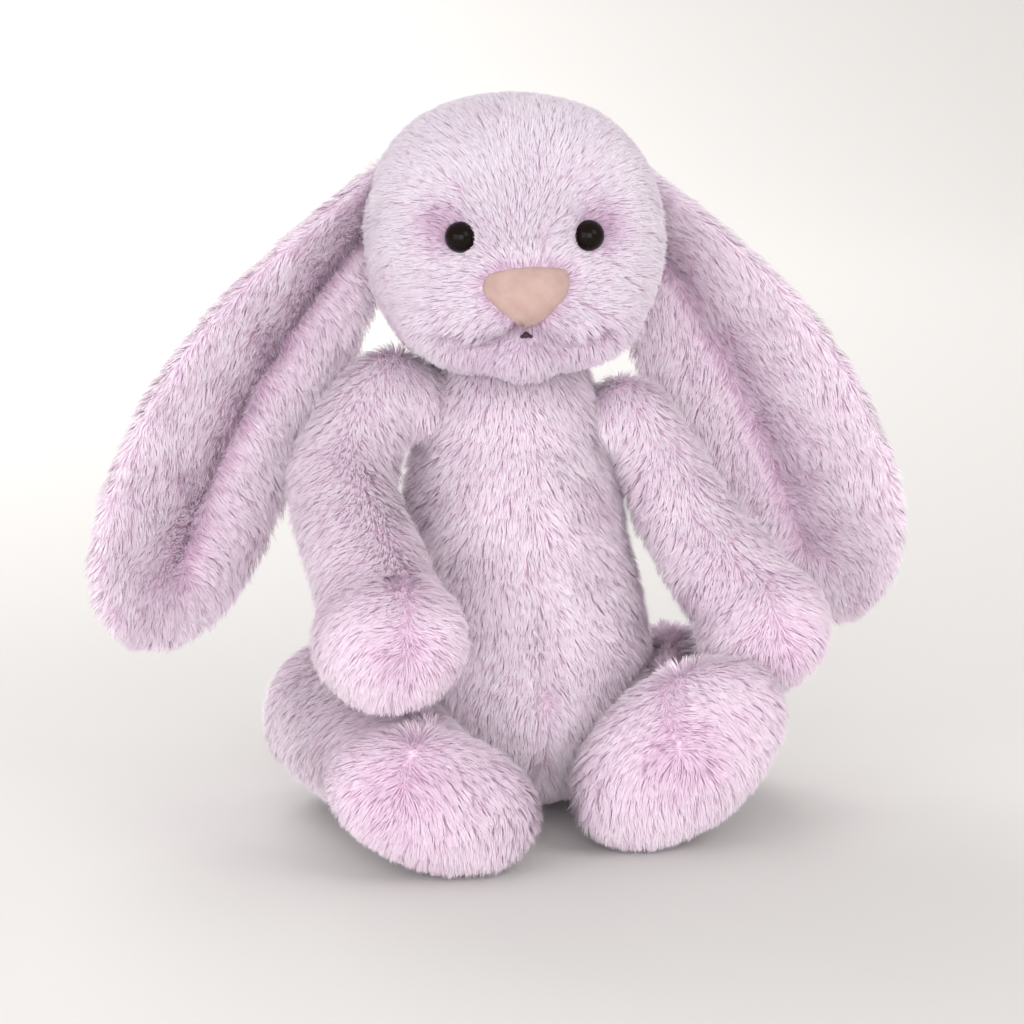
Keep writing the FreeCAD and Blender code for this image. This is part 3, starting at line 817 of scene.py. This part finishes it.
def body_pile():
    def nap(points, normals):
        """The pile lies downwards, and parts at the seams."""
        flow = np.tile([0.0, 0.0, -0.8], (len(points), 1))
        for path in (FRONT_SEAM, BACK_SEAM):
            gap, towards = path_distance(points, path)
            flow -= unit(towards) * (0.9 * falloff(gap, 5 * MM))[:, None]
        return flow

    def shade(points):
        # painted shade in the creases of the front and back seams
        dark = np.zeros(len(points))
        for path in (FRONT_SEAM, BACK_SEAM):
            dark += 1.5 * falloff(path_distance(points, path)[0], 1.8 * MM)
        return dark + 0.1

    def shorten(points):
        """Shorter along the front seam and near the floor."""
        low = np.where(points[:, 2] < 8 * MM, 0.6, 1.0)
        return low * (1 - 0.5 * falloff(path_distance(points, FRONT_SEAM)[0], 1.6 * MM))

    return Pile(length=5.4 * MM, density=5.6, lean=1.1, nap=nap, shade=shade, shorten=shorten)


def make_body():
    skin = make_skin("body_skin", draw_body)
    points = read_vectors(skin.data, "co")
    points[:, 2] = np.maximum(points[:, 2], SEAT_HEIGHT)
    write_points(skin.data, points)
    for path in (FRONT_SEAM, BACK_SEAM):
        crease(skin, path, 2.6 * MM, 2.0 * MM)
    finish_skin(skin, "torso", BODY_NODES)

    pile, middle = body_pile(), Vector((0, 0, 0))
    above_seat = SEAT_HEIGHT + 0.3 * MM
    for part in ("left", "right", "back"):
        grow_pile(
            f"body_fur_{part}",
            skin,
            "torso",
            pile,
            pile_tones,
            keep=lambda points, part=part: is_part(points, part, middle) & (points[:, 2] > above_seat),
        )


def make_tail():
    middle = box_middle("tail_cover")
    skin = make_skin("tail_skin", lambda shape: add_ball(shape, middle, (11 * MM,) * 3))
    finish_skin(skin, "torso", ["tail_cover", "tail_stuffing"])
    pile = Pile(length=7 * MM, density=5.2, lean=0.7, shade=lambda points: np.full(len(points), -0.6))
    grow_pile("tail_fur", skin, "torso", pile, pile_tones)


# ------------------------------------------------------------------ the limbs

ARM_TOPS = {"left": spot(32.5, 0, 107), "right": spot(-37, 2, 115)}
ELBOWS = {"left": spot(43, -14, 83), "right": spot(-51, -14, 95)}
PAWS = {"left": spot(60.5, -35, 54.5), "right": spot(-48, -64, 63)}
# radii at the shoulder, the elbow, the forearm and the wrist, and of the paw, in millimetres
ARM_RADII = {"left": (8.8, 11.2, 13.4, 14.4), "right": (10.5, 12.6, 13.6, 15)}
PAW_SIZES = {"left": (16, 15.6, 16.2), "right": (18.2, 17.5, 16.2)}
FOREARM = 0.62  # where the forearm is measured, from the elbow to the paw

HIPS = {"left": spot(48.5, 8, 24), "right": spot(-48.5, 8, 25)}
FEET = {"left": spot(31.5, -57, 26.5), "right": spot(-37, -70, 21.2)}
LEG_RADII = (19 * MM, 17 * MM, 15 * MM)
FOOT_TILTS = {"left": math.radians(-36), "right": math.radians(20)}
SOLE_MIDDLES = {"left": spot(-3, -14, 3), "right": spot(-11, -13, 5)}  # from the foot's middle
FOOT_SIZES = {
    "left": (30.5 * MM, 13.5 * MM, 19.5 * MM),
    "right": (27 * MM, 13.5 * MM, 16.5 * MM),
}


def make_arm(side):
    shoulder, elbow, paw = ARM_TOPS[side], ELBOWS[side], PAWS[side]
    top_radius, elbow_radius, fore_radius, wrist_radius = (radius * MM for radius in ARM_RADII[side])
    inward = Vector((-SIGNS[side], 0.1, -0.25))

    def draw(shape):
        stations = [
            (shoulder + inward * 9 * MM, top_radius * 0.9),
            (shoulder, top_radius),
            (elbow, elbow_radius),
            (elbow.lerp(paw, FOREARM), fore_radius),
            (paw, wrist_radius),
        ]
        add_limb(shape, stations)
        add_ball(shape, paw, [radius * MM for radius in PAW_SIZES[side]])

    skin = make_skin(f"{side}_arm_skin", draw)
    nodes = [f"{side}_arm_{part}" for part in ("front_panel", "back_panel", "stuffing")]
    finish_skin(skin, f"{side}_arm", nodes)
    paw_middle = np.array(paw)
    palm = np.array(paw + Vector((0.05, -1, 0)) * 17 * MM)

    def nap(points, normals):
        return fanned(points, [0.15 * SIGNS[side], 0, -1.0], palm, 13 * MM, 0.9)

    def shade(points):
        return 1.1 * nearness(points, paw_middle, 14 * MM) + 1.5 * nearness(points, palm, 7 * MM) + 0.1

    pile = Pile(length=5.2 * MM, density=5.6, lean=1.1, nap=nap, shade=shade)
    grow_pile(f"{side}_arm_fur", skin, f"{side}_arm", pile, pile_tones)


def make_leg(side):
    hip, foot = HIPS[side], FEET[side]
    tilt = Euler((0, FOOT_TILTS[side], 0))

    def draw(shape):
        add_limb(shape, list(zip((hip, hip.lerp(foot, 0.5), foot), LEG_RADII)))
        add_ball(shape, foot, FOOT_SIZES[side], tilt)

    skin = make_skin(f"{side}_leg_skin", draw)
    nodes = [f"{side}_leg_{part}" for part in ("top_panel", "under_panel", "stuffing")]
    finish_skin(skin, f"{side}_leg", [*nodes, f"{side}_sole"])
    sole = np.array(foot + SOLE_MIDDLES[side])

    def nap(points, normals):
        return fanned(points, [0.2 * SIGNS[side], -0.15, -1.0], sole, 17 * MM, 1)

    def shade(points):
        return 1.0 * nearness(points, sole, 24 * MM) + 1.3 * nearness(points, sole, 8 * MM) + 0.1

    pile = Pile(length=5.2 * MM, density=5.6, lean=1.1, nap=nap, shade=shade)
    halfway = (hip.y + foot.y) / 2
    parts = {
        f"{side}_foot_fur": lambda points: points[:, 1] < halfway,
        f"{side}_thigh_fur": lambda points: points[:, 1] >= halfway,
    }
    for name, keep in parts.items():
        grow_pile(name, skin, f"{side}_leg", pile, pile_tones, keep)


# ------------------------------------------------------------------ the ears

EAR_TIPS = {"left": spot(98, 17, 45), "right": spot(-103, 17, 47)}
EAR_YAW = math.radians(20)  # how far the ears' insides turn to the front of straight sideways
EAR_THICKNESS = 3.6 * MM  # half of it
EAR_AHEAD = 2 * MM  # how far the ear lies ahead of its spine
FOLD_PLACE = -0.22  # where the fold runs, as a share of the ear's half width from its middle


def ear_spine(side, t):
    """The ear's middle line from its root at 0 to its tip at 1."""
    sign = SIGNS[side]
    bow = spot(7.5 * sign, 0, 4.5)
    return spot(30 * sign, 21, 171).lerp(EAR_TIPS[side], t) + bow * math.sin(math.pi * t)


def ear_half_width(t):
    """Half the ear's width: narrow at the root, broad past the middle, round at the tip."""
    swell = 8 + 18 * math.sin(min(t / 0.68, 1) * math.pi / 2) ** 1.1
    if t > 0.7:
        swell *= math.sqrt(max(0.0, 1 - ((t - 0.7) / 0.3) ** 2.2))
    return swell * MM


def inner_swell(t):
    """How much wider the ear's inner half is than its outer half: it bellies behind the cheek."""
    return 1 + 0.2 * math.exp(-(((t - 0.36) / 0.17) ** 2))


def ear_frame(side, t):
    """The ear's middle at a share of its length, with its directions outwards and to the front."""
    along = (ear_spine(side, min(t + 0.01, 1)) - ear_spine(side, max(t - 0.01, 0))).normalized()
    out = Vector((SIGNS[side] * math.cos(EAR_YAW), -math.sin(EAR_YAW), 0))
    out = (out - along * out.dot(along)).normalized()
    front = along.cross(out)
    if front.y > 0:
        front = -front
    return ear_spine(side, t), out, front


def fold_strength(t):
    """The fold is deepest at the ear's middle, and runs out at both ends."""
    return math.sin(math.pi * min(max((t - 0.02) / 0.86, 0), 1)) ** 0.7


def ear_dip(x, t):
    """How far the ear's middle sheet lies behind its edges, across the ear at x from -1 to 1."""
    bend = math.exp(-(((x - FOLD_PLACE) / 0.3) ** 2))
    crisp = math.exp(-(((x - FOLD_PLACE) / 0.12) ** 2))
    return (2.4 * (1 - x * x) + (3.0 * bend + 1.6 * crisp) * fold_strength(t)) * MM


def draw_ear(shape, side):
    """A long cupped leaf with a rounded rim, as rings of points across it from root to tip."""
    stations, around = 72, 56
    rings = []
    for station in range(stations + 1):
        t = station / stations
        middle, out, front = ear_frame(side, t)
        half = max(ear_half_width(min(t, 0.999)), 0.6 * MM)
        thick = min(EAR_THICKNESS, half * 0.8)
        ring = []
        for corner in range(around):
            angle = 2 * math.pi * corner / around
            x, y = math.cos(angle), math.sin(angle)
            rim = math.copysign(abs(y) ** 0.7, y) * thick
            reach = half * x * (inner_swell(t) if x < 0 else 1)
            ahead = rim + EAR_AHEAD - ear_dip(x, t)
            ring.append(shape.verts.new(middle + out * reach + front * ahead))
        rings.append(ring)
    join_rings(shape, rings)


def ear_fold_line(side):
    """Places down the bottom of the fold, on the lining."""
    line = []
    for t in np.linspace(0.06, 0.86, 12):
        middle, out, front = ear_frame(side, t)
        depth = EAR_AHEAD + EAR_THICKNESS - ear_dip(FOLD_PLACE, t)
        line.append(middle + out * ear_half_width(t) * FOLD_PLACE + front * depth)
    return line


def ear_pile(side):
    root, tip = np.array(ear_spine(side, 0)), np.array(ear_spine(side, 1))
    along = (tip - root) / np.linalg.norm(tip - root)
    fold_line = ear_fold_line(side)
    facing = np.array(ear_frame(side, 0.5)[2])

    def nap(points, normals):
        """On the lining the pile runs out from the fold to the edges, elsewhere along the ear."""
        gap, towards = path_distance(points, fold_line)
        front = np.clip(normals @ facing, 0, 1)[:, None]
        near = falloff(gap, 16 * MM)[:, None]
        return along * (0.9 - 0.5 * near * front) - unit(towards) * near * front * 0.9

    def shade(points):
        # painted shade, darker along the hollow of the ear's fold
        gap, _ = path_distance(points, fold_line)
        return 1.1 * falloff(gap, 7 * MM) + 0.7 * falloff(gap, 2.2 * MM)

    return Pile(length=5.4 * MM, density=4.6, lean=1.1, nap=nap, shade=shade)


def make_ear(side):
    shape = bmesh.new()
    draw_ear(shape, side)
    skin = object_from(shape, f"{side}_ear_skin")
    nodes = [f"{side}_ear_{part}" for part in ("back", "wadding", "lining")]
    finish_skin(skin, f"{side}_ear", nodes)
    grow_pile(f"{side}_ear_fur", skin, f"{side}_ear", ear_pile(side), pile_tones)


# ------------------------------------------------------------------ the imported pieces


def dress(material, *nodes):
    """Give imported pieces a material."""
    for node in nodes:
        piece = frame["nodes"][node]
        piece.data.materials.clear()
        piece.data.materials.append(material)


def dress_packed_pieces():
    washer = plain_material("washer_plastic", (0.84, 0.84, 0.80), roughness=0.4)
    dress(eye_material(), *[f"{side}_eye" for side in SIDES])
    dress(washer, *[f"{side}_eye_washer" for side in SIDES])
    dress(plain_material("pouch_cloth", (0.80, 0.78, 0.72), roughness=0.9), "bean_pouch")
    dress(plain_material("bean_plastic", (0.80, 0.80, 0.77), roughness=0.35), "seat_beans")
    dress(plain_material("sewing_thread", (0.55, 0.40, 0.52)), "neck_stitching")


# ------------------------------------------------------------------ everything together

make_camera()
make_stage()
make_light()
pile_tones = make_pile_materials("pile", BODY_TINT)
# the head's tones are greyer, and darker as painted shade against the light that falls on the head
head_shaded_tones = make_pile_materials("head_pile", HEAD_SHADE_TINT)
backing = backing_material()
felt = felt_material()
mouth_thread = plain_material("mouth_thread", (0.035, 0.012, 0.022))
make_head()
make_body()
for side in SIDES:
    make_arm(side)
    make_leg(side)
    make_ear(side)
make_tail()
dress_packed_pieces()
